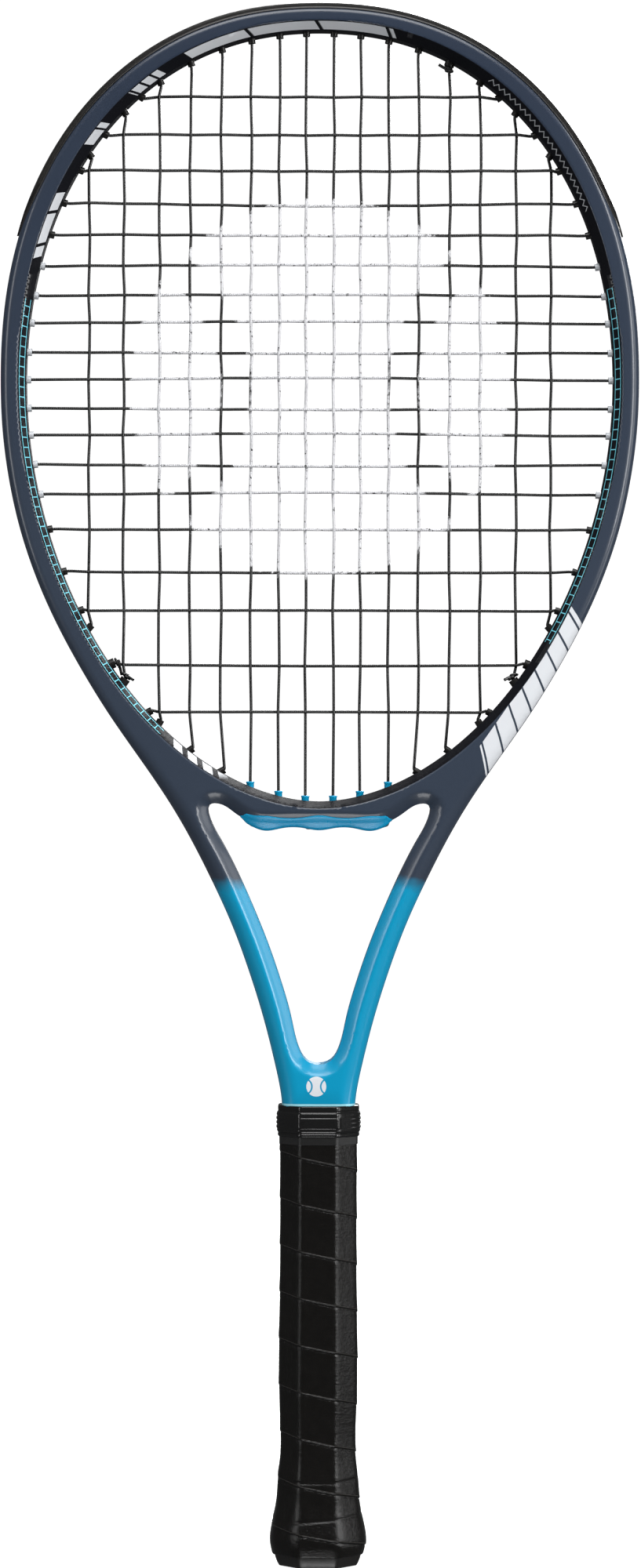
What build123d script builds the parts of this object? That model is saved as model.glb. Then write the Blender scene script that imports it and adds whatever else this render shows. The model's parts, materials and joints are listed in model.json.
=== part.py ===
from build123d import *
import math
import os

# A tennis racket, standing on its butt with the handle down. Millimetres.
# X runs across the face, Y is normal to the strings, Z runs up the handle to the tip.
# The origin is at the middle of the butt's underside.

os.makedirs("parts", exist_ok=True)

# ---------------------------------------------------------------- driving dimensions
BEAM = 25.0                    # depth of the frame tube, along Y
HEAD_CENTRE = 521.0            # height of the widest place of the head, outside
HEAD_HALF_WIDTH = 139.9
HEAD_ABOVE = 163.7             # from the widest place up to the frame's tip
HEAD_POWER = 2.19              # squareness of the head's upper half

HOOP_CENTRE = 517.5            # the oval inside the hoop, which holds the strings
HOOP_HALF_WIDTH = 129.0
HOOP_ABOVE = 156.5
HOOP_BELOW = 182.2
HOOP_POWER_ABOVE = 2.15
HOOP_POWER_BELOW = 1.88

TUBE_WALL = 1.4                # laminate thickness of the hollow tube
OUTER_FILLET = 4.5             # soft outer edges of the tube
THROAT_FILLET = 3.0            # edges around the throat opening
FACET_WIDTH = 3.2              # slanted facet inside the hoop, seen from the front
FACET_DEPTH = 8.0              # the same facet, along Y
GROOVE_DEPTH = 2.0             # string groove round the outside of the head
GROOVE_WIDTH = 9.0
GROOVE_FOOT = 328.0            # where the groove starts on the shoulders

TENON_WIDTH = 20.0             # the tube's narrow end inside the handle
TENON_DEPTH = 17.0
TENON_FOOT = 14.0
SHAFT_FOOT = 196.0             # shoulder where the full tube rests on the handle foam

STRING = 1.3                   # string diameter
WEAVE = 0.66                   # how far a string passes in front of or behind the middle
ARC_SHARE = 0.25               # share of a run that each weave arc takes at a crossing
SWAY = 0.35                    # the mains wander this far sideways between crosses
STRING_GAP = 0.12              # between a loop of string and the strip below it
LOOP_RADIUS = 1.3              # bend of the string where it leaves a bore
LOOP_SHARES = (0.25, 0.5, 0.75)   # corners of an outside loop, between its two bores
LANE = 2.2                     # the two strings run side by side in the groove
SHARED_OFFSET = 0.7            # two strands in one bore lie this far from its middle
TIED_MAIN = 1                  # the main string is tied off at this main from either side
TIED_TOP_MAIN = 12             # the cross string starts at this main's top bore
TIED_CROSS = 17                # and is tied off at this cross
KNOT_RISE = 0.9                # first turn of a knot, above the barrel's mouth
KNOT_PITCH = 1.1
KNOT_RADIUS = 1.35             # of the turns' centre line
KNOT_TAIL = 4.0
KNOT_END = 0.9                 # how far the knotted strand's end stands out of the mouth
MAIN_OFFSETS = [6.1, 17.9, 30.3, 43.4, 57.1, 70.6, 86.3, 101.5]
FIRST_CROSS = 645.5
CROSS_PITCHES = [
    16.6, 15.8, 14.4, 14.0, 13.9, 13.0, 12.1, 12.9, 12.1,
    12.6, 11.9, 12.9, 13.2, 15.4, 18.6, 17.1, 23.6, 21.1,
]
CROSS_BOWS = [
    -0.2, -0.4, -0.5, -1.4, -0.4, 0.7, 0.6, 0.9, -0.4, 1.1,
    -0.4, 1.1, -0.6, 1.2, 0.2, -0.3, 0.3, -0.6, 0.3,
]

STRIP = 0.7                    # thickness of the grommet strips in the groove
STRIP_WIDTH = 8.6
BARREL = 3.3                   # grommet barrels
BARREL_BORE = 1.9
WIDE_BARREL = 4.4              # barrels that take two strands, where a string is tied off
WIDE_BORE = 3.1
BARREL_PROUD = 2.0             # how far the barrels stand out inside the hoop
FLARE = 0.45                   # the bore widens this much at its mouth
FLARE_DEPTH = 1.0
BELL = 0.75                    # and this much where the string bends into the groove
HOLE_CLEARANCE = 0.1           # drilled holes are this much wider than the barrels
NORMAL_SHARE = 0.65            # a bore leans this much towards the hoop's normal
SHOULDER_LEANS = {4: 56.0, 5: 62.0}   # bores of the 4th and 5th mains, from vertical

BUMPER_SKIN = 1.1
BUMPER_HALF_DEPTH = 11.5
BUMPER_CHANNEL = 6.0
BUMPER_TIP = 583.5             # where the bumper's pointed ends stop
SIDE_STRIP_TOP = 577.5         # the strips meet the bumper here
SIDE_STRIP_FOOT = 461.0        # and the shoulder strips here
BUMPER_CROSSES = 5             # this many upper crosses run through the bumper
SIDE_CROSSES = 14              # the ones down to this run through the side strips
SHOULDER_MAINS = 5             # this many outer mains on each side run to the shoulders

BRIDGE_STRIP = 0.6
BRIDGE_STRIP_HALF_WIDTH = 33.0
BRIDGE_RIDGE = 2.6             # ridges that shield the loops below the bridge
BRIDGE_CHANNEL = 2.0
RIDGE_REACH = 2.0              # a ridge runs this far past its two barrels' axes

GRIP_WIDTH = 34.0
GRIP_DEPTH = 30.4
GRIP_FLAT = 15.8               # width of the front and back bevels
GRIP_TAPE = 1.7
GRIP_CORNER = 2.2
PALLET_FOOT = 8.0
CAP_HEIGHT = 37.0
CAP_ROOF = 5.0                 # underside of the cap's hollow floor plate
CAP_WALL = 1.5                 # the same hollow's wall
FINISHING_FOOT = 185.0
FINISHING_TAPE = 0.25
COLLAR_LIP = 199.4             # the collar's straight top lip starts here
COLLAR_TOP = 202.0

DOOR_WIDTH = 18.0
DOOR_DEPTH = 15.0
DOOR_GAP = 0.3
DOOR_PLATE = 2.2
DOOR_RECESS = 1.0
DOOR_RIM = 1.2                 # wall of the door's skirt and of the sleeve round it
DOOR_SKIRT = 6.0

# ---------------------------------------------------------------- outlines
# Right half of the outline below the widest place: half width and height.
SHOULDER_POINTS = [
    (139.0, 497.6), (136.3, 477.0), (131.8, 456.4), (125.1, 435.7), (116.2, 415.1),
    (105.2, 394.5), (92.5, 373.8), (78.2, 353.2), (64.4, 332.6), (55.5, 317.1),
    (47.6, 301.6), (38.2, 281.0), (30.6, 260.4), (24.2, 239.8), (19.0, 219.1), (16.2, 203.7),
]
SHAFT_HALF_WIDTH = 15.7

# Right half of the throat opening, from the middle of the bridge down to the yoke.
THROAT_POINTS = [
    (0.0, 325.2), (15.0, 325.1), (29.0, 325.9), (37.5, 330.6), (44.0, 334.2), (48.3, 333.6),
    (48.0, 328.0), (43.3, 318.7), (37.8, 308.4), (28.4, 287.7), (22.8, 273.9), (16.8, 256.6),
    (11.9, 239.3), (8.8, 227.0), (5.4, 221.6), (0.0, 219.8),
]


def oval_quarter(half_width, height, power, steps, side):
    """Quarter of a superellipse, from the Z axis (side +1 above, -1 below) to the X axis."""
    points = []
    for i in range(steps):
        angle = math.pi / 2 * i / steps
        x = half_width * math.sin(angle) ** (2 / power)
        z = side * height * math.cos(angle) ** (2 / power)
        points.append((x, z))
    return points


def pushed_out(points, distance):
    """Move each point of a clockwise half outline outward, square to its neighbours."""
    moved = []
    for i, (x, z) in enumerate(points):
        before = points[i - 1] if i > 0 else (-points[1][0], points[1][1])
        after = points[i + 1] if i + 1 < len(points) else (-points[-2][0], points[-2][1])
        along = Vector(after[0] - before[0], after[1] - before[1]).normalized()
        moved.append((x - along.Y * distance, z + along.X * distance))
    return moved


def mirrored_loop(half):
    """Close a half outline that starts and ends on the Z axis."""
    return half + [(-x, z) for x, z in reversed(half[1:-1])]


def curve(points, closed=False):
    return Spline(*[(x, 0, z) for x, z in points], periodic=closed)


def slab(outline, half_depth):
    """Solid between y = -half_depth and +half_depth, with a closed outline in XZ."""
    return Pos(0, -half_depth, 0) * extrude(make_face(outline), 2 * half_depth, dir=(0, 1, 0))


def head_outline(distance=0.0):
    """Outer outline of the racket, open at the shaft's foot, pushed out by a distance."""
    upper = oval_quarter(HEAD_HALF_WIDTH, HEAD_ABOVE, HEAD_POWER, 9, 1)
    half = [(x, HEAD_CENTRE + z) for x, z in upper]
    half.append((HEAD_HALF_WIDTH, HEAD_CENTRE))
    half += SHOULDER_POINTS
    half.append((SHAFT_HALF_WIDTH, SHAFT_FOOT))
    right = pushed_out(half, distance)[:-1] + [(SHAFT_HALF_WIDTH + distance, SHAFT_FOOT)]
    left = [(-x, z) for x, z in reversed(right[1:])]
    path = [(x, 0, z) for x, z in left + right]
    return Spline(*path, tangents=[(0, 0, 1), (0, 0, -1)])


def head_slab(distance, half_depth):
    side = head_outline(distance)
    return slab(Wire([side, Line(side @ 1, side @ 0)]), half_depth)


def ring_slab(inner, outer, half_depth):
    """Band between two outlines of the head and shoulders, open at the shaft."""
    inside = head_outline(inner).trim(0.06, 0.94)
    outside = head_outline(outer).trim(0.06, 0.94)
    ends = [Line(inside @ 0, outside @ 0), Line(inside @ 1, outside @ 1)]
    return slab(Wire([inside, outside] + ends), half_depth)


def hoop_loop(distance=0.0):
    above = oval_quarter(HOOP_HALF_WIDTH, HOOP_ABOVE, HOOP_POWER_ABOVE, 8, 1)
    below = oval_quarter(HOOP_HALF_WIDTH, HOOP_BELOW, HOOP_POWER_BELOW, 8, -1)
    half = above + [(HOOP_HALF_WIDTH, 0)] + below[::-1]
    half = [(x, HOOP_CENTRE + z) for x, z in half]
    return curve(mirrored_loop(pushed_out(half, distance)), closed=True)


def throat_loop(distance=0.0):
    return curve(mirrored_loop(pushed_out(THROAT_POINTS, distance)), closed=True)


# ---------------------------------------------------------------- string layout
def cross_heights():
    heights = [FIRST_CROSS]
    for pitch in CROSS_PITCHES:
        heights.append(heights[-1] - pitch)
    return heights


MAIN_PLACES = [-x for x in reversed(MAIN_OFFSETS)] + MAIN_OFFSETS
CROSS_HEIGHTS = cross_heights()
MAINS = len(MAIN_PLACES)
CROSSES = len(CROSS_HEIGHTS)


def hoop_height(x, side):
    """Height of the hoop's inner edge at x, above (+1) or below (-1) the middle."""
    reach = HOOP_ABOVE if side > 0 else HOOP_BELOW
    power = HOOP_POWER_ABOVE if side > 0 else HOOP_POWER_BELOW
    return HOOP_CENTRE + side * reach * (1 - (abs(x) / HOOP_HALF_WIDTH) ** power) ** (1 / power)


def hoop_half_width(z):
    """Half width of the hoop's inner edge at a height."""
    above = z > HOOP_CENTRE
    reach = HOOP_ABOVE if above else HOOP_BELOW
    power = HOOP_POWER_ABOVE if above else HOOP_POWER_BELOW
    return HOOP_HALF_WIDTH * (1 - (abs(z - HOOP_CENTRE) / reach) ** power) ** (1 / power)


def hoop_normal(x, z):
    """Outward normal of the hoop's inner edge, as (x, 0, z)."""
    above = z > HOOP_CENTRE
    reach = HOOP_ABOVE if above else HOOP_BELOW
    power = HOOP_POWER_ABOVE if above else HOOP_POWER_BELOW
    slope_x = (abs(x) / HOOP_HALF_WIDTH) ** (power - 1) / HOOP_HALF_WIDTH
    slope_z = (abs(z - HOOP_CENTRE) / reach) ** (power - 1) / reach
    return Vector(math.copysign(slope_x, x), 0, math.copysign(slope_z, z - HOOP_CENTRE)).normalized()


class Bore:
    """One string hole through the hoop: its mouth inside and its exit in the groove."""

    def __init__(self, x, z, string_way, wide=False, lean=None, bridge=False):
        edge = Vector(x, 0, z)
        if bridge:
            self.way = Vector(0, 0, -1)
        elif lean is not None:
            side = math.copysign(1, x)
            self.way = Vector(side * math.sin(math.radians(lean)), 0, -math.cos(math.radians(lean)))
        else:
            normal = hoop_normal(x, z)
            self.way = (normal * NORMAL_SHARE + string_way * (1 - NORMAL_SHARE)).normalized()
        self.wide = wide
        self.bridge = bridge
        self.edge = edge
        self.mouth = edge - self.way * BARREL_PROUD
        self.exit = self.find_exit()

    def find_exit(self):
        """Where the bore's axis meets the line that the string follows outside."""
        loop_line = BRIDGE_LINE if self.bridge else GROOVE_LINE
        axis = Line(self.edge, self.edge + self.way * 45)
        near, far = axis.closest_points(loop_line)
        return near

    def barrel(self, diameter):
        length = (self.exit - self.mouth).length
        return Plane(origin=self.mouth, z_dir=self.way) * extrude(Circle(diameter / 2), length)

    def outer_diameter(self):
        return WIDE_BARREL if self.wide else BARREL

    def bore_diameter(self):
        return WIDE_BORE if self.wide else BARREL_BORE


GROOVE_LINE = head_outline(STRIP + STRING / 2 + STRING_GAP - GROOVE_DEPTH)
BRIDGE_LINE = Pos(0, 0, -BRIDGE_STRIP - STRING / 2 - STRING_GAP) * throat_loop()


def main_bore(main, side):
    """Bore of a main (0 is the leftmost), at the top (+1) or the bottom (-1)."""
    x = MAIN_PLACES[main]
    rank = min(main, MAINS - 1 - main) + 1
    z = hoop_height(x, side)
    if side < 0:
        lean = SHOULDER_LEANS.get(rank)
        tied = rank == TIED_MAIN + 1
        return Bore(x, z, Vector(0, 0, -1), tied, lean, rank > SHOULDER_MAINS)
    return Bore(x, z, Vector(0, 0, 1), main == TIED_TOP_MAIN)


def cross_bore(cross, side):
    """Bore of a cross (0 is the highest), on the right (+1) or the left (-1)."""
    z = CROSS_HEIGHTS[cross]
    x = side * hoop_half_width(z)
    return Bore(x, z, Vector(side, 0, 0), cross == TIED_CROSS)


TOP_BORES = [main_bore(main, 1) for main in range(MAINS)]
FOOT_BORES = [main_bore(main, -1) for main in range(MAINS)]
RIGHT_BORES = [cross_bore(cross, 1) for cross in range(CROSSES)]
LEFT_BORES = [cross_bore(cross, -1) for cross in range(CROSSES)]
ALL_BORES = TOP_BORES + FOOT_BORES + RIGHT_BORES + LEFT_BORES


# ---------------------------------------------------------------- frame
def block(width, depth, foot, top):
    """Upright box centred on the handle's axis."""
    return Pos(0, 0, (foot + top) / 2) * Box(width, depth, top - foot)


def layered(outline, profile):
    """Solid through outlines at rising y: the profile lists (y, distance pushed out)."""
    sections = [Pos(0, y, 0) * make_face(outline(distance)) for y, distance in profile]
    return loft(sections, ruled=True)


def head_wire(distance=0.0):
    side = head_outline(distance)
    return Wire([side, Line(side @ 1, side @ 0)])


def rounded_profile(half_depth, radius, sign=-1.0, extra=0.0):
    """Profile with rounded front and back edges; sign -1 rounds a body, +1 an opening in it."""
    angles = [math.radians(a) for a in (0, 30, 60, 90)]
    front = [(half_depth - radius + radius * math.sin(a), sign * radius * (1 - math.cos(a)) + extra)
             for a in angles]
    back = [(-y, distance) for y, distance in reversed(front)]
    return back + front


def frame_blank():
    """The moulded outside shape: hoop, bridge, throat arms and shaft, before drilling."""
    half = BEAM / 2
    body = layered(head_wire, rounded_profile(half, OUTER_FILLET))
    throat = layered(throat_loop, rounded_profile(half, THROAT_FILLET, sign=1.0))
    straight = half - FACET_DEPTH
    facet_profile = [(-half, FACET_WIDTH), (-straight, 0), (straight, 0), (half, FACET_WIDTH)]
    return body - throat - layered(hoop_loop, facet_profile)


def tube_void():
    """The hollow inside the hoop, bridge, arms and shaft."""
    half = BEAM / 2 - TUBE_WALL
    straight = BEAM / 2 - FACET_DEPTH
    inset = -GROOVE_DEPTH - TUBE_WALL
    body = layered(head_wire, rounded_profile(half, TUBE_WALL, extra=inset))
    body -= block(100, BEAM, 0, SHAFT_FOOT + TUBE_WALL)
    slope = (half - straight) * FACET_WIDTH / FACET_DEPTH
    hoop = [(-half, TUBE_WALL + slope), (-straight, TUBE_WALL), (straight, TUBE_WALL),
            (half, TUBE_WALL + slope)]
    return body - slab(throat_loop(TUBE_WALL), BEAM) - layered(hoop_loop, hoop)


def groove():
    """Channel for the strings round the outside of the head, down to the shoulders."""
    return ring_slab(-GROOVE_DEPTH, 1, GROOVE_WIDTH / 2) - block(400, BEAM, 0, GROOVE_FOOT)


def make_frame():
    tenon = block(TENON_WIDTH, TENON_DEPTH, TENON_FOOT, SHAFT_FOOT)
    tenon_void = block(TENON_WIDTH - 2 * TUBE_WALL, TENON_DEPTH - 2 * TUBE_WALL,
                       TENON_FOOT, SHAFT_FOOT + 2 * TUBE_WALL)
    body = frame_blank() - groove() + tenon - tube_void() - tenon_void
    for bore in ALL_BORES:
        body -= bore.barrel(bore.outer_diameter() + HOLE_CLEARANCE)
    return body


# ---------------------------------------------------------------- grommets and bumper
def side_clip(low, high):
    """Box that keeps the right side of the head between two heights."""
    return Pos(100, 0, (low + high) / 2) * Box(200, 2 * BEAM, high - low)


def groove_band():
    """The strip that lies on the groove's floor, all round the head."""
    return ring_slab(-GROOVE_DEPTH, STRIP - GROOVE_DEPTH, STRIP_WIDTH / 2)


def bore_cutter(bore):
    """What the string needs inside a barrel: the bore, flared at both ends."""
    diameter = bore.bore_diameter()
    radius = diameter / 2
    length = (bore.exit - bore.mouth).length + 2
    hole = Plane(origin=bore.mouth - bore.way, z_dir=bore.way) * extrude(Circle(radius), length)
    flare = Cone(radius + FLARE, radius, FLARE_DEPTH)
    flare = Plane(origin=bore.mouth, z_dir=bore.way) * Pos(0, 0, FLARE_DEPTH / 2) * flare
    bell = Plane(origin=bore.exit, z_dir=bore.way) * Sphere(radius + BELL)
    return [hole, flare, bell]


def add_barrels(band, bores, limit):
    """A strip with its barrels, which end halfway through it, bored for the string."""
    body = band + [bore.barrel(bore.outer_diameter()) & limit for bore in bores]
    for bore in bores:
        body -= bore_cutter(bore)
    return body


def grommet_strip(low, high, bores):
    """Strip on the right side of the head; the left one is its mirror image."""
    limit = head_slab(STRIP / 2 - GROOVE_DEPTH, BEAM)
    return add_barrels(groove_band() & side_clip(low, high), bores, limit)


def make_bumper():
    """Cap over the top of the head, with an open channel for the loops of string."""
    profile = rounded_profile(BEAM / 2 + BUMPER_SKIN, OUTER_FILLET + BUMPER_SKIN, extra=BUMPER_SKIN)
    above_tip = Pos(0, 0, BUMPER_TIP + 75) * Box(400, 2 * BUMPER_HALF_DEPTH, 150)
    ring = ring_slab(-GROOVE_DEPTH, 2 * BUMPER_SKIN, BEAM)
    skin = (ring & above_tip) & layered(head_wire, profile)
    skin -= frame_blank() - groove()
    skin -= ring_slab(STRIP - GROOVE_DEPTH, 3, BUMPER_CHANNEL / 2)
    for side in (-1, 1):
        corner = Polyline(
            (0, side * GROOVE_WIDTH / 2, BUMPER_TIP - 1), (0, side * BUMPER_HALF_DEPTH, BUMPER_TIP + 22),
            (0, side * BEAM, BUMPER_TIP + 22), (0, side * BEAM, BUMPER_TIP - 1), close=True)
        skin -= Pos(-200, 0, 0) * extrude(make_face(corner), 400, dir=(1, 0, 0))
    band = groove_band() & Pos(0, 0, SIDE_STRIP_TOP + 100) * Box(400, BEAM, 200)
    bores = TOP_BORES + LEFT_BORES[:BUMPER_CROSSES] + RIGHT_BORES[:BUMPER_CROSSES]
    return add_barrels(skin + band, bores, head_slab(STRIP / 2 - GROOVE_DEPTH, BEAM))


def make_throat_grommet():
    """Thin strip below the bridge, with ridges either side of the three loops of string."""
    opening = slab(throat_loop(), 5.0)
    band = opening - Pos(0, 0, -BRIDGE_STRIP) * slab(throat_loop(), BEAM)
    band &= Pos(0, 0, 330) * Box(2 * BRIDGE_STRIP_HALF_WIDTH, BEAM, 20)
    ridge = slab(throat_loop(), 4.0) - Pos(0, 0, -BRIDGE_RIDGE) * slab(throat_loop(), BEAM)
    ridge -= Pos(0, 0, -BRIDGE_STRIP) * slab(throat_loop(), BRIDGE_CHANNEL / 2)
    for left in range(SHOULDER_MAINS, MAINS - SHOULDER_MAINS, 2):
        low = MAIN_PLACES[left] - RIDGE_REACH
        high = MAIN_PLACES[left + 1] + RIDGE_REACH
        band += ridge & Pos((low + high) / 2, 0, 325) * Box(high - low, BEAM, 20)
    limit = block(80, BEAM, 300, 400) - Pos(0, 0, -BRIDGE_STRIP / 2) * slab(throat_loop(), BEAM)
    return add_barrels(band, FOOT_BORES[SHOULDER_MAINS:-SHOULDER_MAINS], limit)


# ---------------------------------------------------------------- strings
def crossing(main, cross):
    """Place in the string bed where a main and a cross meet, at y = 0."""
    x = MAIN_PLACES[main] + SWAY * math.sin(2.3 * main + 1.9 * cross)
    bow = CROSS_BOWS[cross] * math.cos(math.pi * x / (2 * HOOP_HALF_WIDTH)) ** 2
    return Vector(x, 0, CROSS_HEIGHTS[cross] + bow)


def crosses_main(main, cross):
    """True where both strings exist, inside the hoop."""
    place = crossing(main, cross)
    return abs(place.X) < hoop_half_width(place.Z) - BARREL_PROUD


def woven(main, cross, in_front):
    """Corner of a string's zigzag at a crossing; the arc there passes at WEAVE."""
    side = -1 if (main + cross) % 2 == 0 else 1
    reach = WEAVE / (1 - ARC_SHARE)
    return crossing(main, cross) + Vector(0, side * reach * in_front, 0)


def lane_points(bore_a, bore_b, lane):
    """Points along the groove between two bores, moved sideways into the string's lane."""
    start = GROOVE_LINE.param_at_point(bore_a.exit)
    end = GROOVE_LINE.param_at_point(bore_b.exit)
    places = [GROOVE_LINE.position_at(start + (end - start) * share) for share in LOOP_SHARES]
    return [place + Vector(0, lane, 0) for place in places]


def bridge_points(bore_a, bore_b):
    """Points between two bores of the bridge, straight below it, where the strip bulges a little."""
    places = [bore_a.exit + (bore_b.exit - bore_a.exit) * share for share in LOOP_SHARES]
    upright = Vector(0, 0, 3)
    return [Line(p - upright, p + upright).closest_points(BRIDGE_LINE)[0] for p in places]


def loop_between(bore_a, bore_b, lane, shift_a=0.0, shift_b=0.0):
    """Outside loop: out of one bore, along the groove, and into the next."""
    middle = bridge_points(bore_a, bore_b) if bore_a.bridge else lane_points(bore_a, bore_b, lane)
    out = bore_a.exit + Vector(0, shift_a, 0)
    back = bore_b.exit + Vector(0, shift_b, 0)
    return [out] + middle + [back]


def own_shift(bore, lane):
    """A string shares a wide bore with another strand, on the side of its own lane."""
    return math.copysign(SHARED_OFFSET, lane) if bore.wide else 0.0


def tied_end(bore, lane):
    """Free end of a string, just inside a wide bore's mouth, beside the other strand."""
    return bore.mouth - bore.way * KNOT_END + Vector(0, -math.copysign(SHARED_OFFSET, lane), 0)


def string_corners(runs, bores, lane, first_tie, last_tie):
    """Corners of a whole string: tied end, runs joined by loops, tied end."""
    start, end = bores[0][0], bores[-1][1]
    points = [tied_end(*first_tie)]
    first_shift = -math.copysign(SHARED_OFFSET, first_tie[1])
    points += loop_between(first_tie[0], start, lane, first_shift, own_shift(start, lane))
    for i, (run, (bore_in, bore_out)) in enumerate(zip(runs, bores)):
        points.append(bore_in.mouth + Vector(0, own_shift(bore_in, lane), 0))
        points += run
        points.append(bore_out.mouth + Vector(0, own_shift(bore_out, lane), 0))
        if i + 1 < len(runs):
            next_bore = bores[i + 1][0]
            points += loop_between(bore_out, next_bore, lane,
                                   own_shift(bore_out, lane), own_shift(next_bore, lane))
    last_shift = -math.copysign(SHARED_OFFSET, last_tie[1])
    points += loop_between(end, last_tie[0], lane, own_shift(end, lane), last_shift)
    points.append(tied_end(*last_tie))
    return points


def corner_cut(before, corner, after):
    """How far from a corner its arc starts, and the turn there in degrees."""
    run_in = corner - before
    run_out = after - corner
    turn = run_in.get_angle(run_out)
    shorter = min(run_in.length, run_out.length)
    weave_cut = ARC_SHARE * shorter
    loop_cut = LOOP_RADIUS * math.tan(math.radians(turn) / 2)
    return (min(0.45 * shorter, loop_cut) if turn > 40 else min(weave_cut, 4.0)), turn


def rounded_path(points):
    """Straight runs joined by tangent arcs."""
    edges = []
    last = points[0]
    for before, corner, after in zip(points, points[1:], points[2:]):
        cut, turn = corner_cut(before, corner, after)
        if turn < 0.3:
            continue
        way_in = (corner - before).normalized()
        way_out = (after - corner).normalized()
        arc_start = corner - way_in * cut
        arc_end = corner + way_out * cut
        half_turn = math.radians(turn) / 2
        radius = cut / math.tan(half_turn)
        inward = (way_out - way_in).normalized()
        arc_middle = corner + inward * radius * (1 / math.cos(half_turn) - 1)
        edges.append(Line(last, arc_start))
        edges.append(ThreePointArc(arc_start, arc_middle, arc_end))
        last = arc_end
    edges.append(Line(last, points[-1]))
    return Wire(edges)


def string_solid(points):
    path = rounded_path(points)
    section = Plane(origin=path @ 0, z_dir=path % 0) * Circle(STRING / 2)
    return sweep(section, path=path)


def main_string_points():
    """Up the first main, down the second, and so on, tied off at both feet."""
    runs = []
    bores = []
    for main in range(MAINS):
        run = [woven(main, cross, 1) for cross in range(CROSSES) if crosses_main(main, cross)]
        ends = (TOP_BORES[main], FOOT_BORES[main])
        if main % 2 == 0:
            run.reverse()
            ends = (FOOT_BORES[main], TOP_BORES[main])
        runs.append(run)
        bores.append(ends)
    first_tie = (FOOT_BORES[TIED_MAIN], -LANE)
    last_tie = (FOOT_BORES[-1 - TIED_MAIN], -LANE)
    return string_corners(runs, bores, -LANE, first_tie, last_tie)


def cross_string_points():
    """From the knot at the top, across and back, and tied off at the lower left."""
    runs = []
    bores = []
    for cross in range(CROSSES):
        run = [woven(main, cross, -1) for main in range(MAINS) if crosses_main(main, cross)]
        ends = (LEFT_BORES[cross], RIGHT_BORES[cross])
        if cross % 2 == 0:
            run.reverse()
            ends = (RIGHT_BORES[cross], LEFT_BORES[cross])
        runs.append(run)
        bores.append(ends)
    first_tie = (TOP_BORES[TIED_TOP_MAIN], -LANE)
    last_tie = (LEFT_BORES[TIED_CROSS], LANE)
    return string_corners(runs, bores, LANE, first_tie, last_tie)


def make_knot(bore, lane, next_corner, tail_way):
    """Double half hitch round the strand that leaves a wide bore, with a short tail."""
    start = bore.mouth + Vector(0, own_shift(bore, lane), 0)
    way = (next_corner - start).normalized()
    turn = Torus(KNOT_RADIUS, STRING / 2)
    first = Plane(origin=start - bore.way * KNOT_RISE, z_dir=bore.way) * turn
    last_place = start + way * (KNOT_RISE + KNOT_PITCH)
    second = Plane(origin=last_place, z_dir=(way - bore.way).normalized()) * turn
    tail_start = last_place + tail_way * KNOT_RADIUS
    tail = Plane(origin=tail_start, z_dir=tail_way) * extrude(Circle(STRING / 2), KNOT_TAIL)
    return first + second + tail


# ---------------------------------------------------------------- handle
def octagon(grow, z):
    """Handle section, bevelled at 45 degrees, larger than the grip by grow on every side."""
    half_width = GRIP_WIDTH / 2 + grow
    half_depth = GRIP_DEPTH / 2 + grow
    flat = GRIP_FLAT / 2 + grow * math.tan(math.pi / 8)
    side = half_depth - (half_width - flat)
    quarter = [(half_width, side), (flat, half_depth)]
    points = quarter + [(-x, y) for x, y in reversed(quarter)]
    points += [(-x, -y) for x, y in points]
    face = make_face(Polyline(*points, close=True))
    face = fillet(face.vertices(), max(0.5, GRIP_CORNER + grow))
    return Pos(0, 0, z) * face


def octagon_bar(grow, foot, top):
    return extrude(octagon(grow, foot), top - foot)


def flared(sections):
    """Smooth solid through handle sections, listed as (height, grow)."""
    return loft([octagon(grow, z) for z, grow in sections])


CAP_SECTIONS = [(0, 0.0), (3.5, 1.6), (9, 2.5), (15, 2.2), (22, 0.6), (30, -0.6), (37, -0.9)]
TAPE_SECTIONS = [(5, 3.3), (9, 4.1), (15, 3.9), (22, 2.4), (30, 1.2), (37, 0.8), (44, 0.0)]
COLLAR_SECTIONS = [(188.2, 0.5), (190.5, 1.3), (194.0, 1.4), (197.5, 1.3), (COLLAR_LIP, 0.6)]


STAPLE_HEIGHT = 30.0
STAPLE_SPREAD = 5.0            # the staples sit this far either side of the middle
STAPLE_CROWN = 7.0
STAPLE_LEG = 4.2
STAPLE_WIRE = 0.7              # flat wire, this thick
STAPLE_WIRE_WIDTH = 0.9
STAPLE_FACE = GRIP_DEPTH / 2 - 0.45
TACK_HEIGHT = 24.0
TACK_HEAD = (17.6, 2.4, 0.7)   # place along X, radius and thickness
TACK_PIN = (15.2, 0.6, 4.2)    # place along X, radius and length


def staple(x, side):
    """Wire staple through the cap's skirt into the handle foam, front or back."""
    crown = Box(STAPLE_CROWN, STAPLE_WIRE, STAPLE_WIRE_WIDTH)
    leg = Box(STAPLE_WIRE, STAPLE_LEG, STAPLE_WIRE_WIDTH)
    reach = (STAPLE_CROWN - STAPLE_WIRE) / 2
    sink = (STAPLE_LEG - STAPLE_WIRE) / 2
    wire = Pos(0, side * STAPLE_FACE, 0) * crown
    for dx in (-reach, reach):
        wire += Pos(dx, side * (STAPLE_FACE - sink), 0) * leg
    return Pos(x, 0, STAPLE_HEIGHT) * wire


def make_staples():
    places = [(x, side) for x in (-STAPLE_SPREAD, STAPLE_SPREAD) for side in (-1, 1)]
    return Compound(children=[staple(x, side) for x, side in places])


def make_tack():
    """Tack that holds the start of the grip tape on the cap's side."""
    tack = None
    for x, radius, length in (TACK_HEAD, TACK_PIN):
        piece = Pos(x, 0, TACK_HEIGHT) * Rot(0, 90, 0) * Cylinder(radius, length)
        tack = piece if tack is None else tack + piece
    return tack


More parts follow.
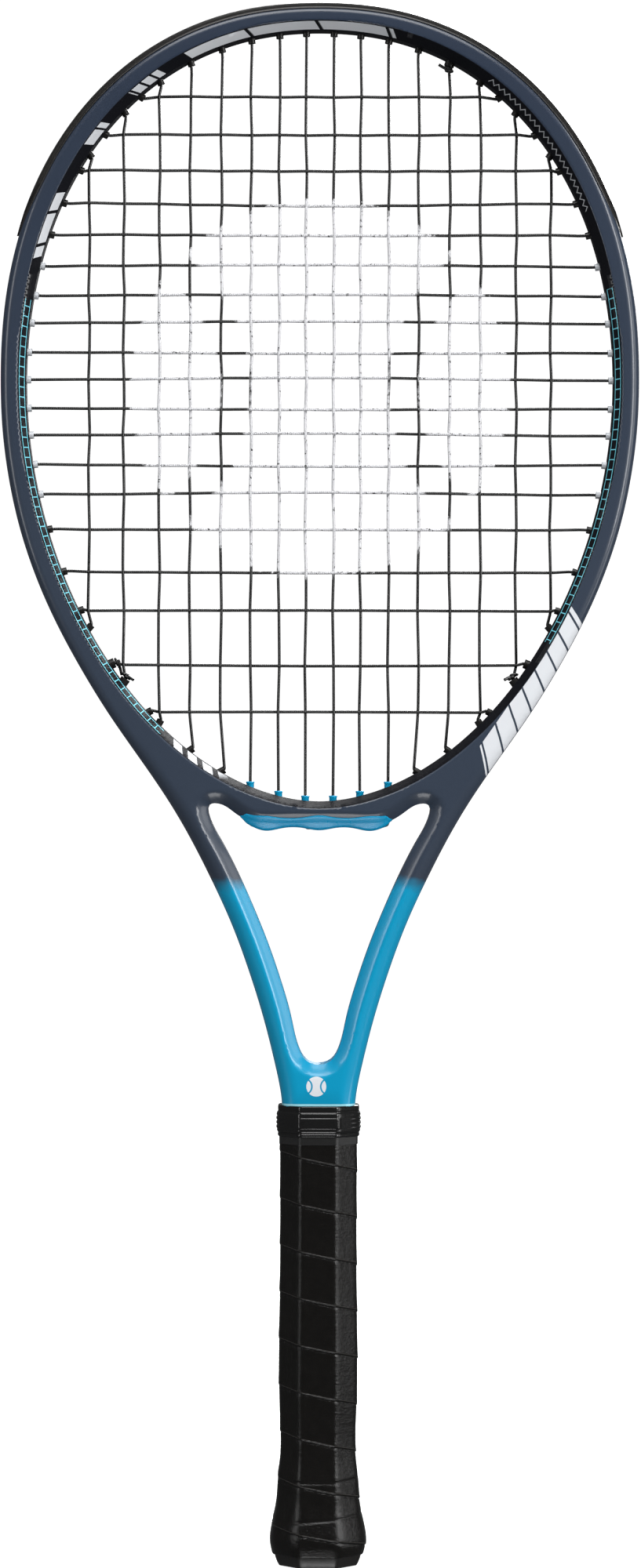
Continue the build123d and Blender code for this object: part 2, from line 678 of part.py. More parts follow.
def make_pallet(fasteners):
    foam = octagon_bar(-GRIP_TAPE, PALLET_FOOT, SHAFT_FOOT)
    foam -= block(TENON_WIDTH, TENON_DEPTH, 0, SHAFT_FOOT + 1)
    return foam - fasteners


def make_cap(fasteners):
    """Flared cap over the handle's foot, hollow round the sleeve of the trap door."""
    cap = flared(CAP_SECTIONS) - octagon_bar(-GRIP_TAPE, PALLET_FOOT, CAP_HEIGHT + 1)
    sleeve = block(DOOR_WIDTH + 2 * DOOR_RIM, DOOR_DEPTH + 2 * DOOR_RIM, 0, PALLET_FOOT + 1)
    cap -= octagon_bar(-GRIP_TAPE - CAP_WALL, CAP_ROOF, PALLET_FOOT) - sleeve
    shelf = DOOR_RECESS + DOOR_PLATE + DOOR_GAP
    cap -= block(DOOR_WIDTH + 2 * DOOR_GAP, DOOR_DEPTH + 2 * DOOR_GAP, -1, shelf)
    cap -= block(DOOR_WIDTH - 2 * DOOR_RIM, DOOR_DEPTH - 2 * DOOR_RIM, -1, PALLET_FOOT + 1)
    return cap - fasteners


def make_door():
    """Trap door in the cap's underside: a plate with a snap skirt behind it."""
    top = DOOR_RECESS + DOOR_PLATE
    plate = block(DOOR_WIDTH, DOOR_DEPTH, DOOR_RECESS, top)
    width = DOOR_WIDTH - 2 * DOOR_RIM - 2 * DOOR_GAP
    depth = DOOR_DEPTH - 2 * DOOR_RIM - 2 * DOOR_GAP
    skirt = block(width, depth, top, top + DOOR_SKIRT)
    skirt -= block(width - 2 * DOOR_RIM, depth - 2 * DOOR_RIM, top, top + DOOR_SKIRT + 1)
    return plate + skirt


def make_grip_tape(fasteners):
    tape = flared(TAPE_SECTIONS) + octagon_bar(0, 44, SHAFT_FOOT)
    return tape - flared(CAP_SECTIONS) - octagon_bar(-GRIP_TAPE, 0, SHAFT_FOOT) - fasteners


def make_finishing_tape():
    return octagon_bar(FINISHING_TAPE, FINISHING_FOOT, SHAFT_FOOT) - octagon_bar(0, 0, SHAFT_FOOT)


def make_collar():
    """Stretch collar over the end of the grip and the foot of the shaft."""
    body = flared(COLLAR_SECTIONS) + octagon_bar(0.4, COLLAR_LIP, COLLAR_TOP)
    return body - octagon_bar(FINISHING_TAPE, FINISHING_FOOT, SHAFT_FOOT) - frame_blank()


# ---------------------------------------------------------------- all the pieces
def build_all():
    fasteners = [make_staples(), make_tack()]
    side_strip = grommet_strip(
        SIDE_STRIP_FOOT, SIDE_STRIP_TOP, RIGHT_BORES[BUMPER_CROSSES:SIDE_CROSSES])
    shoulder_strip = grommet_strip(
        GROOVE_FOOT, SIDE_STRIP_FOOT, FOOT_BORES[-SHOULDER_MAINS:] + RIGHT_BORES[SIDE_CROSSES:])
    return {
        "frame": make_frame(),
        "bumper_guard": make_bumper(),
        "side_grommet_left": mirror(side_strip, about=Plane.YZ),
        "side_grommet_right": side_strip,
        "shoulder_grommet_left": mirror(shoulder_strip, about=Plane.YZ),
        "shoulder_grommet_right": shoulder_strip,
        "throat_grommet": make_throat_grommet(),
        "main_string": string_solid(main_string_points()),
        "cross_string": string_solid(cross_string_points()),
        "main_knot_left": make_knot(
            FOOT_BORES[TIED_MAIN], -LANE, woven(TIED_MAIN, TIED_CROSS, 1), Vector(0.72, -0.5, -0.48)),
        "main_knot_right": make_knot(
            FOOT_BORES[-1 - TIED_MAIN], -LANE, woven(MAINS - 1 - TIED_MAIN, TIED_CROSS, 1),
            Vector(-0.8, -0.45, -0.4)),
        "cross_knot_top": make_knot(
            TOP_BORES[TIED_TOP_MAIN], -LANE, woven(TIED_TOP_MAIN, 0, 1), Vector(-0.85, -0.2, 0.48)),
        "cross_knot_left": make_knot(
            LEFT_BORES[TIED_CROSS], LANE, woven(1, TIED_CROSS, -1), Vector(0.2, 0.4, -0.9)),
        "handle_pallet": make_pallet(fasteners),
        "butt_cap": make_cap(fasteners),
        "butt_cap_door": make_door(),
        "butt_cap_staples": fasteners[0],
        "grip_tack": fasteners[1],
        "grip_tape": make_grip_tape(fasteners),
        "finishing_tape": make_finishing_tape(),
        "rubber_collar": make_collar(),
    }


if __name__ == "__main__":
    for name, solid in build_all().items():
        export_step(solid, f"parts/{name}.step")
        print(name, round(solid.volume), "mm3")
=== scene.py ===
import json
import math

import bpy
import numpy as np
from mathutils.geometry import delaunay_2d_cdt
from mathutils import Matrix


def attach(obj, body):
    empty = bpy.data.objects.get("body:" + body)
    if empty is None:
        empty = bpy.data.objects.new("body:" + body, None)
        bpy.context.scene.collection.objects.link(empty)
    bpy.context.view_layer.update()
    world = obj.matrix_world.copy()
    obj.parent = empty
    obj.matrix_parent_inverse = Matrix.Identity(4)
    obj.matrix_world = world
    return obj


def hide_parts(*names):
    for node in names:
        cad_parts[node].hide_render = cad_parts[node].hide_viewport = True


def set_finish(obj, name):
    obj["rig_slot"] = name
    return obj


# Looks of a tennis racket round its CAD frame. Shapes are written in millimetres and
# become metres where the meshes are made. X runs across the face, the front is -Y, Z is up.
MM = 0.001

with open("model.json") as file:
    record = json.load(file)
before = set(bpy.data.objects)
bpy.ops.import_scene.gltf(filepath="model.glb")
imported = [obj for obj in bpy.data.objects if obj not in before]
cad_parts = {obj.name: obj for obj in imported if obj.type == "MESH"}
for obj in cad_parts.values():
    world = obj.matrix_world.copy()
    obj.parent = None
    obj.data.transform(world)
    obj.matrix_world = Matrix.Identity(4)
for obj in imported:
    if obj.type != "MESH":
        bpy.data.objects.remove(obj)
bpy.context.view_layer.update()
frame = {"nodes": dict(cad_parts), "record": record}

# ---------------------------------------------------------------- driving dimensions
BEAM_HALF = 12.5
HEAD_CENTRE = 521.0
HEAD_HALF_WIDTH = 139.9
HEAD_ABOVE = 163.7
HEAD_POWER = 2.19
HOOP_CENTRE = 517.5
HOOP_HALF_WIDTH = 129.0
HOOP_ABOVE = 156.5
HOOP_BELOW = 182.2
HOOP_POWER_ABOVE = 2.15
HOOP_POWER_BELOW = 1.88
SHAFT_FOOT = 196.0
SHAFT_HALF_WIDTH = 15.7

EDGE_RADIUS = 4.5              # soft outer edge of the hoop
ARM_RADIUS = 7.5               # rounder outer edge of the throat arms
FACET_WIDTH = 3.2              # slanted facet inside the hoop
WALL_HALF = 4.5                # flat inner wall of the hoop, front to middle
GROOVE_HALF = 4.5
GROOVE_DEPTH = 2.0
GROOVE_FOOT = 328.0
RIDGE_WIDTH = 5.4              # from the throat's edge to the ridge line on the arms
RIDGE_DROP = 3.9               # the throat's edge lies this far behind the ridge
BUMPER_TIP = 583.5             # where the bumper's pointed ends stop
BUMPER_REACH = 1.2             # its thickness outside the head
BUMPER_END_DEPTH = 6.5         # how near the middle its outer wall ends
BARREL_RADIUS = 1.65
BARREL_PROUD = 2.2
BRIDGE_MAINS = (-30.3, -17.9, -6.1, 6.1, 17.9, 30.3)
TENON = (10.0, 8.5, 14.0)      # half width, half depth and foot of the tube in the handle

GRIP_SIDES = (17.0, 16.33, 15.2, 16.33)   # the octagon's sides from the axis, +X first
GRIP_FOOT = 5.0
GRIP_TOP = 196.0
GRIP_PITCH = 20.5              # rise of the spiral wrap in one turn
SEAM_DROP = 3.0                # the uppermost seam starts this far below the grip's top
CORNER_POWER = 38.0            # how sharp the grip's corners are
FLARE_POWER = 16.0             # and lower down, where it flares

SHOULDER_POINTS = [
    (139.0, 497.6), (136.3, 477.0), (131.8, 456.4), (125.1, 435.7), (116.2, 415.1),
    (105.2, 394.5), (92.5, 373.8), (78.2, 353.2), (64.4, 332.6), (55.5, 317.1),
    (47.6, 301.6), (38.2, 281.0), (30.6, 260.4), (24.2, 239.8), (19.0, 219.1), (16.2, 203.7),
]
THROAT_POINTS = [
    (0.0, 325.2), (15.0, 325.1), (29.0, 325.9), (37.5, 330.6), (44.0, 334.2), (48.3, 333.6),
    (48.0, 328.0), (43.3, 318.7), (37.8, 308.4), (28.4, 287.7), (22.8, 273.9), (16.8, 256.6),
    (11.9, 239.3), (8.8, 227.0), (5.4, 221.6), (0.0, 219.8),
]


ROOM = 7.0                     # half width of the white room round the racket, in metres
FLOOR = -0.002                 # just below the butt, in metres
CAMERA_DISTANCE = 1.95         # from the strings, in metres
VIEW_SPAN = 0.6904             # what the picture's long side shows there, in metres

# ---------------------------------------------------------------- outlines
def smooth_line(points, spacing, closed=False):
    """Dense points along the smooth cubic through a few points, in the XZ plane."""
    nodes = np.array(points, float)
    if closed:
        nodes = np.vstack([nodes, nodes[:1]])
    steps = np.linalg.norm(np.diff(nodes, axis=0), axis=1)
    rises = np.diff(nodes, axis=0) / steps[:, None]
    count = len(nodes)
    matrix = np.zeros((count, count))
    right = np.zeros((count, 2))
    for i in range(1, count - 1):
        matrix[i, i - 1:i + 2] = steps[i], 2 * (steps[i - 1] + steps[i]), steps[i - 1]
        right[i] = 3 * (steps[i] * rises[i - 1] + steps[i - 1] * rises[i])
    if closed:
        matrix[0, [0, 1, count - 2]] = 2 * (steps[-1] + steps[0]), steps[-1], steps[0]
        right[0] = 3 * (steps[0] * rises[-1] + steps[-1] * rises[0])
        matrix[-1, [0, -1]] = 1, -1
    else:
        matrix[0, 0] = matrix[-1, -1] = 1
        right[0] = rises[0]
        right[-1] = rises[-1]
    slopes = np.linalg.solve(matrix, right)
    dense = []
    for i, step in enumerate(steps):
        for t in np.arange(0, 1, 1 / max(1, round(step / spacing))):
            rise = (2 * t ** 3 - 3 * t ** 2 + 1) * nodes[i] + (3 * t ** 2 - 2 * t ** 3) * nodes[i + 1]
            bend = (t ** 3 - 2 * t ** 2 + t) * slopes[i] + (t ** 3 - t ** 2) * slopes[i + 1]
            dense.append(rise + bend * step)
    if not closed:
        dense.append(nodes[-1])
    return np.array(dense)


def oval_quarter(half_width, height, power, steps, side):
    """Quarter of a superellipse, from the Z axis (side +1 above, -1 below) to the X axis."""
    points = []
    for i in range(steps):
        angle = math.pi / 2 * i / steps
        x = half_width * math.sin(angle) ** (2 / power)
        z = side * height * math.cos(angle) ** (2 / power)
        points.append((x, z))
    return points


def head_line(spacing):
    """Outer outline from the left of the shaft's foot over the tip to the right."""
    upper = oval_quarter(HEAD_HALF_WIDTH, HEAD_ABOVE, HEAD_POWER, 9, 1)
    half = [(x, HEAD_CENTRE + z) for x, z in upper]
    half += [(HEAD_HALF_WIDTH, HEAD_CENTRE)] + SHOULDER_POINTS + [(SHAFT_HALF_WIDTH, SHAFT_FOOT)]
    return smooth_line([(-x, z) for x, z in reversed(half[1:])] + half, spacing)


def hoop_line(spacing):
    """Inner outline of the hoop, clockwise from the top."""
    above = oval_quarter(HOOP_HALF_WIDTH, HOOP_ABOVE, HOOP_POWER_ABOVE, 8, 1)
    below = oval_quarter(HOOP_HALF_WIDTH, HOOP_BELOW, HOOP_POWER_BELOW, 8, -1)
    half = [(x, HOOP_CENTRE + z) for x, z in above + [(HOOP_HALF_WIDTH, 0)] + below[::-1]]
    return smooth_line(half + [(-x, z) for x, z in reversed(half[1:-1])], spacing, closed=True)


def throat_line(spacing):
    """Outline of the throat opening, clockwise from the middle of the bridge."""
    half = THROAT_POINTS
    return smooth_line(half + [(-x, z) for x, z in reversed(half[1:-1])], spacing, closed=True)


def line_normals(line, closed):
    """Unit normals on the left of the way along a line; outward for a clockwise loop."""
    if closed:
        way = np.roll(line, -1, axis=0) - np.roll(line, 1, axis=0)
    else:
        way = np.gradient(line, axis=0)
    way /= np.linalg.norm(way, axis=1)[:, None]
    return np.stack([-way[:, 1], way[:, 0]], axis=1)


HEAD = head_line(2.6)
HOOP = hoop_line(2.4)
THROAT = throat_line(1.7)


def nearest(points, line, closed):
    """Distance of each point from a line, its direction from there, and the place along it."""
    start = line if closed else line[:-1]
    end = np.roll(line, -1, axis=0) if closed else line[1:]
    way = end - start
    length = np.linalg.norm(way, axis=1)
    along = np.concatenate([[0], np.cumsum(length)])
    distance = np.zeros(len(points))
    direction = np.zeros((len(points), 2))
    place = np.zeros(len(points))
    for first in range(0, len(points), 2000):
        some = points[first:first + 2000]
        share = np.einsum("ijk,jk->ij", some[:, None] - start[None], way) / length ** 2
        share = np.clip(share, 0, 1)
        gap = some[:, None] - start[None] - share[:, :, None] * way[None]
        squared = (gap ** 2).sum(axis=2)
        best = squared.argmin(axis=1)
        rows = np.arange(len(some))
        found = np.sqrt(squared[rows, best])
        distance[first:first + 2000] = found
        direction[first:first + 2000] = gap[rows, best] / np.maximum(found, 1e-9)[:, None]
        place[first:first + 2000] = along[best] + share[rows, best] * length[best]
    return distance, direction, place


def inside(points, loop):
    """True for points inside a closed loop."""
    result = np.zeros(len(points), bool)
    x, z = points[:, 0], points[:, 1]
    for (x1, z1), (x2, z2) in zip(loop, np.roll(loop, -1, axis=0)):
        if z1 != z2:
            crossed = (z1 > z) != (z2 > z)
            result ^= crossed & (x < x1 + (z - z1) * (x2 - x1) / (z2 - z1))
    return result


# ---------------------------------------------------------------- surface of the frame
def ease(value, low, high):
    """Smooth step from 0 at low to 1 at high."""
    t = np.clip((value - low) / (high - low), 0, 1)
    return t * t * (3 - 2 * t)


def lower_of(a, b, width):
    """The smaller of two values, rounded where they meet."""
    share = np.clip(0.5 + 0.5 * (b - a) / width, 0, 1)
    return b * (1 - share) + a * share - width * share * (1 - share)


def edge_radius(z):
    return EDGE_RADIUS + (ARM_RADIUS - EDGE_RADIUS) * (1 - ease(z, 318, 372))


def surface_height(head, hoop, throat, z):
    """How far the front surface stands before the middle, from the distances to the outlines."""
    radius = edge_radius(z)
    left = np.clip(1 - head / radius, 0, 1)
    outer = BEAM_HALF - radius * (1 - np.sqrt(1 - left ** 2))
    crown = 0.35 * np.clip(1 - head / 10, 0, 1) ** 2 * (1 - left)
    facet = WALL_HALF + (BEAM_HALF - WALL_HALF) * hoop / FACET_WIDTH
    slope = np.clip(1 - throat / RIDGE_WIDTH, -1, 1)
    ridge = BEAM_HALF - RIDGE_DROP * (0.7 * slope + 0.3 * slope * np.abs(slope))
    face = lower_of(outer - crown, ridge, 0.5)
    return lower_of(face, facet, 0.12)


def frame_fields(points):
    """Heights, slopes along X and Z, distance from the hoop and place along it."""
    head, head_way, _ = nearest(points, HEAD, False)
    hoop, hoop_way, place = nearest(points, HOOP, True)
    throat, throat_way, _ = nearest(points, THROAT, True)
    z = points[:, 1]
    height = surface_height(head, hoop, throat, z)
    step = 0.01
    slope = (surface_height(head + step, hoop, throat, z) - height)[:, None] * head_way
    slope += (surface_height(head, hoop + step, throat, z) - height)[:, None] * hoop_way
    slope += (surface_height(head, hoop, throat + step, z) - height)[:, None] * throat_way
    girth = np.linalg.norm(np.roll(HOOP, -1, axis=0) - HOOP, axis=1).sum()
    place = np.where(place > girth / 2, place - girth, place)
    return height, slope / step, hoop, place


def rings(line, closed, side, offsets):
    """Points beside a line at several distances; side -1 puts them inside a loop."""
    normals = line_normals(line, closed) * side
    return np.vstack([line + normals * offset for offset in offsets])


def face_points():
    """Points of the frame's flat layout: the outlines, then free points beside them."""
    free = np.vstack([
        rings(HEAD, False, -1, [0.15, 0.6, 1.3, 2.2, 3.2, 4.5, 6.2, 8.0]),
        rings(HOOP, True, 1, [1.6, FACET_WIDTH, 4.2]),
        rings(THROAT, True, 1, [0.9, 1.8, 2.8, 3.8, 4.6, 5.4, 6.2, 7.6]),
    ])
    shaft = np.array([(x, z) for z in np.arange(200, 222, 3.0) for x in np.arange(-9, 9.1, 3.0)])
    free = np.vstack([free, shaft])
    head, _, _ = nearest(free, HEAD, False)
    hoop, _, _ = nearest(free, HOOP, True)
    throat, _, _ = nearest(free, THROAT, True)
    kept = inside(free, HEAD) & ~inside(free, HOOP) & ~inside(free, THROAT)
    kept &= (head > 0.1) & (hoop > 0.5) & (throat > 0.5) & (free[:, 1] > SHAFT_FOOT + 1)
    return free[kept]


def face_sheet():
    """Triangles of the front face in XZ."""
    foot = np.array([(x, SHAFT_FOOT) for x in np.arange(12, -12.1, -4.0)])
    outer = np.vstack([HEAD, foot])
    points = []
    edges = []
    for loop in (outer, HOOP, THROAT):
        first = len(points)
        points += [tuple(p) for p in loop]
        edges += [(first + i, first + (i + 1) % len(loop)) for i in range(len(loop))]
    points += [tuple(p) for p in face_points()]
    found = delaunay_2d_cdt(points, edges, [], 0, 1e-5)
    places = np.array([tuple(p) for p in found[0]])
    triangles = np.array([tuple(t) for t in found[2]])
    middle = places[triangles].mean(axis=1)
    kept = inside(middle, outer) & ~inside(middle, HOOP) & ~inside(middle, THROAT)
    return places, triangles[kept]


class Builder:
    """Collects faces with the normal wanted at each corner, and makes one mesh of them."""

    def __init__(self):
        self.points = []
        self.faces = []
        self.normals = []

    def add(self, corners, normals):
        """One face; its corners are turned round if they disagree with the normals."""
        corners = [np.array(c, float) for c in corners]
        normals = [np.array(n, float) for n in normals]
        facing = np.cross(corners[1] - corners[0], corners[2] - corners[1])
        if np.dot(facing, sum(normals)) < 0:
            corners.reverse()
            normals.reverse()
        first = len(self.points)
        self.points += corners
        self.faces.append(tuple(range(first, first + len(corners))))
        self.normals += normals

    def band(self, line_a, line_b, normals_a, normals_b, closed):
        """Quads between two lines of points."""
        count = len(line_a)
        for i in range(count if closed else count - 1):
            j = (i + 1) % count
            self.add([line_a[i], line_a[j], line_b[j], line_b[i]],
                     [normals_a[i], normals_a[j], normals_b[j], normals_b[i]])

    def mesh(self, name):
        mesh = bpy.data.meshes.new(name)
        mesh.from_pydata([tuple(p * MM) for p in self.points], [], self.faces)
        mesh.polygons.foreach_set("use_smooth", [True] * len(mesh.polygons))
        lengths = [max(np.linalg.norm(n), 1e-9) for n in self.normals]
        mesh.normals_split_custom_set([tuple(n / size) for n, size in zip(self.normals, lengths)])
        return mesh


def at_depth(line, depth):
    """Points of an outline at a depth along Y; the depth may change along the line."""
    depth = np.broadcast_to(depth, len(line))
    return np.stack([line[:, 0], depth, line[:, 1]], axis=1)


def add_faces(builder):
    """Front and back of the frame."""
    places, triangles = face_sheet()
    height, _, _, _ = frame_fields(places)
    corners = places[triangles]
    near = corners * 0.97 + corners.mean(axis=1, keepdims=True) * 0.03
    _, slope, _, _ = frame_fields(near.reshape(-1, 2))
    slope = slope.reshape(-1, 3, 2)
    for triangle, gradients in zip(triangles, slope):
        for side in (-1, 1):
            points = [(places[v, 0], side * height[v], places[v, 1]) for v in triangle]
            builder.add(points, [(-g[0], side, -g[1]) for g in gradients])


def add_walls(builder):
    """Outer wall with its string groove, the hoop's inner wall and the throat's wall."""
    normals = line_normals(HEAD, False)
    outward = at_depth(normals, 0)
    depth = GROOVE_DEPTH * ease(HEAD[:, 1], GROOVE_FOOT - 3, GROOVE_FOOT + 5)
    floor = HEAD - normals * depth[:, None]
    top = BEAM_HALF - edge_radius(HEAD[:, 1])
    rim = np.minimum(GROOVE_HALF, top)
    builder.band(at_depth(floor, -GROOVE_HALF), at_depth(floor, GROOVE_HALF), outward, outward, False)
    for side in (-1, 1):
        cheek = np.tile((0.0, -side, 0.0), (len(HEAD), 1))
        edge, lip = at_depth(HEAD, side * top), at_depth(HEAD, side * rim)
        builder.band(edge, lip, outward, outward, False)
        builder.band(lip, at_depth(floor, side * rim), cheek, cheek, False)
    for line, half in ((HOOP, WALL_HALF), (THROAT, None)):
        if half is None:
            half = frame_fields(line)[0]
        inward = at_depth(-line_normals(line, True), 0)
        builder.band(at_depth(line, -half), at_depth(line, half), inward, inward, True)


def add_tenon(builder):
    """The tube's narrow end, hidden in the handle."""
    width, depth, foot = TENON
    ring = [(width, depth), (-width, depth), (-width, -depth), (width, -depth)]
    ways = [(0, 1, 0), (-1, 0, 0), (0, -1, 0), (1, 0, 0)]
    for i, way in enumerate(ways):
        (x1, y1), (x2, y2) = ring[i], ring[(i + 1) % 4]
        corners = [(x1, y1, foot), (x2, y2, foot), (x2, y2, SHAFT_FOOT), (x1, y1, SHAFT_FOOT)]
        builder.add(corners, [way] * 4)
    builder.add([(x, y, foot) for x, y in ring], [(0, 0, -1)] * 4)


def make_frame_skin():
    builder = Builder()
    add_faces(builder)
    add_walls(builder)
    add_tenon(builder)
    mesh = builder.mesh("frame_skin")
    flat = np.array([(p[0], p[2]) for p in builder.points])
    _, _, hoop, place = frame_fields(flat)
    edge, _, _ = nearest(flat, HEAD, False)
    for name, values in (("hoop_distance", hoop), ("hoop_place", place), ("edge_distance", edge)):
        layer = mesh.attributes.new(name, "FLOAT", "POINT")
        layer.data.foreach_set("value", values.astype(np.float32))
    return add_piece("frame_skin", mesh, "frame", "frame_paint")


# ---------------------------------------------------------------- handle
def octagon_reach(angle, grow, power=CORNER_POWER):
    """Distance of the rounded octagon from the handle's axis, at an angle from +X."""
    total = 0
    for i in range(8):
        side = GRIP_SIDES[i % 4] + grow
        facing = np.maximum(np.cos(angle - i * math.pi / 4), 0)
        total = total + (facing / side) ** power
    return total ** (-1 / power)


def sleeve_mesh(name, heights, columns, surface):
    """Closed sleeve round the handle; surface(angle, height, row) gives its reach."""
    angles = np.arange(columns) * 2 * math.pi / columns
    points = []
    for row, z in enumerate(heights):
        reach = surface(angles, z, row)
        points += [(r * math.cos(a) * MM, r * math.sin(a) * MM, z * MM)
                   for a, r in zip(angles, reach)]
    faces = []
    for row in range(len(heights) - 1):
        for i in range(columns):
            j = (i + 1) % columns
            low, high = row * columns, (row + 1) * columns
            faces.append((low + i, low + j, high + j, high + i))
    mesh = bpy.data.meshes.new(name)
    mesh.from_pydata(points, [], faces)
    mesh.polygons.foreach_set("use_smooth", [True] * len(faces))
    return mesh


def make_grip():
    """Grip tape wound in a spiral: each turn overlaps the one below it."""
    profile = smooth_line([(5, 3.2), (9, 4.1), (15, 3.9), (22, 2.4), (30, 1.2), (37, 0.8),
                           (44, 0.0), (70, 0.0), (120, 0.0), (196, 0.0)], 0.8)
    heights = np.concatenate([[GRIP_FOOT] * 2, np.arange(GRIP_FOOT + 0.3, GRIP_TOP, 0.5), [GRIP_TOP] * 2])
    rng = np.random.default_rng(7)
    lumps = rng.normal(0, 1, (len(heights), 12))

    def surface(angle, z, row):
        grow = np.interp(z, profile[:, 0], profile[:, 1])
        if row == 0 or row == len(heights) - 1:
            return octagon_reach(angle, grow - 1.6)
        if row == 1:
            return octagon_reach(angle, grow - 0.5)
        turn = (z - GRIP_TOP + SEAM_DROP + GRIP_PITCH * angle / (2 * math.pi)) / GRIP_PITCH
        share = turn - np.floor(turn)
        millimetres = share * GRIP_PITCH
        lip = 0.32 * np.exp(-millimetres / 5.0) - 0.42 * np.exp(-((millimetres - 20.2) / 0.45) ** 2)
        lump = 0.05 * np.interp(angle, np.linspace(0, 2 * math.pi, 12), lumps[row])
        fade = ease(z, 10, 60)
        power = FLARE_POWER + (CORNER_POWER - FLARE_POWER) * ease(z, 14, 52)
        crease = 0.35 * np.exp(-((z - 38.5 - 1.2 * np.sin(angle)) / 0.7) ** 2)
        crease = crease + 0.3 * np.exp(-((z - 21.0 - 1.5 * np.cos(angle)) / 0.6) ** 2)
        return octagon_reach(angle, grow, power) + lip - crease - 0.1 + lump * 0.4 * fade

    mesh = sleeve_mesh("grip_wrap", heights, 144, surface)
    return add_piece("grip_wrap", mesh, "grip_tape", "grip_tape")


def make_collar():
    """Rubber collar with glossy lips, ribs on its sides and a raised plain panel."""
    profile = [(188.2, -0.6), (188.3, 0.5), (188.9, 0.95), (189.6, 0.9), (190.0, 0.6), (190.4, 1.0),
               (191.0, 1.35), (198.0, 1.35), (198.8, 1.15), (199.2, 0.75), (199.6, 0.7),
               (200.1, 0.85), (201.2, 0.85), (201.8, 0.65), (202.0, 0.2), (202.0, -3.2)]
    heights = []
    grows = []
    for (z1, g1), (z2, g2) in zip(profile, profile[1:]):
        steps = max(2, round(abs(z2 - z1) / 0.22))
        for k in range(steps):
            heights.append(z1 + (z2 - z1) * k / steps)
            grows.append(g1 + (g2 - g1) * k / steps)
    heights.append(profile[-1][0])
    grows.append(profile[-1][1])

    def surface(angle, z, row):
        body = ease(z, 190.6, 191.4) * (1 - ease(z, 197.6, 198.4))
        at_side = ease(np.abs(np.cos(angle)), 0.80, 0.90)
        ribs = 0.28 * np.sin(2 * math.pi * z / 1.9) * at_side * body
        across = octagon_reach(angle, 1.0) * np.cos(angle)
        panel = ease(-np.abs(across), -9.6, -8.6) * ease(z, 191.8, 192.6) * (1 - ease(z, 196.4, 197.2))
        return octagon_reach(angle, grows[row]) + ribs + 0.3 * panel

    mesh = sleeve_mesh("collar_sleeve", heights, 160, surface)
    return add_piece("collar_sleeve", mesh, "rubber_collar", "collar_rubber")


# ---------------------------------------------------------------- bumper and throat strip
def cover_rows(line, out, width, reach, lift, end_depth):
    """Front half of a thin skin that lies on the frame beside an outline and turns over its edge."""
    rows = []
    for share, rise in ((1.0, -0.2), (1.0, 0.75), (0.96, 1.0), (0.66, 1.0), (0.33, 1.0), (0.1, 0.9)):
        places = line - out * (width * share)[:, None]
        height = frame_fields(places)[0]
        rows.append(at_depth(places, -(height + lift * rise)))
    edge = frame_fields(line - out * 0.02)[0]
    for share, depth in ((0.45, 0.1), (0.85, -0.7), (1.0, -1.8)):
        rows.append(at_depth(line + out * (reach * share)[:, None], -(edge + depth)))
    rows.append(at_depth(line + out * reach[:, None], -end_depth))
    return rows


def grid_mesh(name, rows, extra=None):
    """Smooth mesh through rows of points, with more points and faces after them."""
    count = len(rows[0])
    points = [tuple(p) for row in rows for p in row]
    faces = []
    for r in range(len(rows) - 1):
        for i in range(count - 1):
            low = r * count + i
            faces.append((low, low + 1, low + count + 1, low + count))
    for more_points, more_faces in extra or []:
        first = len(points)
        points += more_points
        faces += [tuple(first + v for v in face) for face in more_faces]
    mesh = bpy.data.meshes.new(name)
    mesh.from_pydata([tuple(c * MM for c in p) for p in points], [], faces)
    mesh.polygons.foreach_set("use_smooth", [True] * len(faces))
    return mesh


def make_bumper_cover(side):
    """The bumper's wing over the front (-1) or back (+1) edge of the head."""
    kept = HEAD[:, 1] > BUMPER_TIP
    line = HEAD[kept]
    out = line_normals(HEAD, False)[kept]
    taper = ease(line[:, 1], BUMPER_TIP - 1, BUMPER_TIP + 26)
    width = 0.3 + 1.9 * taper
    reach = BUMPER_REACH * (0.25 + 0.75 * taper)
    lift = 0.4 * taper + 0.05
    rows = cover_rows(line, out, width, reach, lift, BUMPER_END_DEPTH)
    if side > 0:
        rows = [row * (1, -1, 1) for row in rows][::-1]
    name = "bumper_wing_front" if side < 0 else "bumper_wing_back"
    return add_piece(name, grid_mesh("bumper_wing", rows), None, "black_plastic")


def barrel_part(x):
    """Grommet barrel that stands up inside the hoop, with a lip at its mouth."""
    lip = BARREL_RADIUS + 0.2
    profile = [(BARREL_RADIUS, -1.5), (BARREL_RADIUS, BARREL_PROUD - 0.9), (lip, BARREL_PROUD - 0.6),
               (lip, BARREL_PROUD - 0.15), (BARREL_RADIUS - 0.1, BARREL_PROUD), (1.0, BARREL_PROUD),
               (0.95, -1.5)]
    foot = HOOP[HOOP[:, 1] < HOOP_CENTRE]
    foot = foot[np.argsort(foot[:, 0])]
    z = np.interp(x, foot[:, 0], foot[:, 1])
    columns = 20
    points = []
    for radius, height in profile:
        for i in range(columns):
            angle = 2 * math.pi * i / columns
            points.append((x + radius * math.cos(angle), radius * math.sin(angle), z + height))
    faces = []
    for row in range(len(profile) - 1):
        for i in range(columns):
            j = (i + 1) % columns
            low, high = row * columns, (row + 1) * columns
            faces.append((low + i, low + j, high + j, high + i))
    return points, faces


